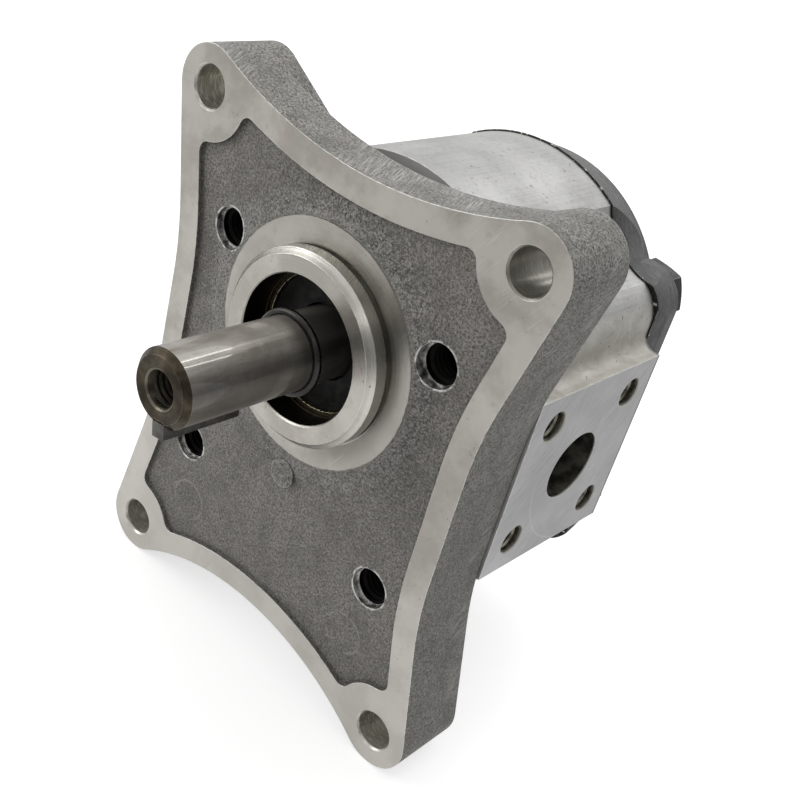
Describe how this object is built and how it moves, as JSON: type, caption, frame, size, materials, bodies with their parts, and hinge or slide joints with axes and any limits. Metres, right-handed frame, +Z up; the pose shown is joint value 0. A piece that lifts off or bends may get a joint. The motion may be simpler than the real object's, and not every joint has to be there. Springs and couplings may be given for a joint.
{
  "type": "hydraulic gear pump",
  "caption": "External gear pump with a waisted mounting flange, centring spigot, keyed shaft end, side ports and a bolted rear cover.",
  "frame": {"origin": "where the drive shaft's axis meets the machined mounting face of the flange", "axes": "+Y from the mounting face into the pump, +X towards the pressure port, +Z up from the driven shaft to the drive shaft"},
  "size_m": [0.0978, 0.1173, 0.1248],
  "materials": {
    "cast_aluminium": "sand cast with machined faces",
    "housing_aluminium": "extruded, with machined port faces",
    "cast_iron": "ground casting",
    "shaft_steel": "ground",
    "bearing_alloy": "machined",
    "bush_bronze": "plain bearing layer",
    "black_rubber": "moulded",
    "backup_plastic": "moulded",
    "seal_case": "rubber covered",
    "spring_steel": "drawn",
    "golden_steel": "oiled, golden tint",
    "key_steel": "black oxide",
    "dowel_steel": "ground",
    "bolt_steel": "dark grey plating"
  },
  "bodies": {
    "housing": {"front_flange": "cast_aluminium", "gear_housing": "housing_aluminium", "rear_cover": "cast_iron", "front_bearing_block": "bearing_alloy", "rear_bearing_block": "bearing_alloy", "drive_front_bush": "bush_bronze", "drive_rear_bush": "bush_bronze", "driven_front_bush": "bush_bronze", "driven_rear_bush": "bush_bronze", "front_housing_seal": "black_rubber", "rear_housing_seal": "black_rubber", "front_block_seal": "black_rubber", "rear_block_seal": "black_rubber", "front_backup_strips": "backup_plastic", "rear_backup_strips": "backup_plastic", "shaft_seal_case": "seal_case", "shaft_seal_lip": "black_rubber", "seal_garter_spring": "spring_steel", "seal_retaining_ring": "golden_steel", "front_dowels": "dowel_steel", "rear_dowels": "dowel_steel", "tie_bolts": "bolt_steel"},
    "drive_shaft": {"drive_gear_shaft": "shaft_steel", "shaft_key": "key_steel", "shaft_snap_ring": "spring_steel"},
    "driven_shaft": {"driven_gear_shaft": "shaft_steel"}
  },
  "joints": [
    {"name": "drive_spin", "type": "hinge", "parent": "housing", "child": "drive_shaft", "pos_m": [0, 0, 0], "axis": [0, 1, 0], "continuous": true},
    {"name": "driven_spin", "type": "hinge", "parent": "housing", "child": "driven_shaft", "pos_m": [0, 0.04, -0.03], "axis": [0, 1, 0], "continuous": true}
  ],
  "couplings": [
    {"joint": "driven_spin", "follows": "drive_spin", "ratio": -1}
  ]
}
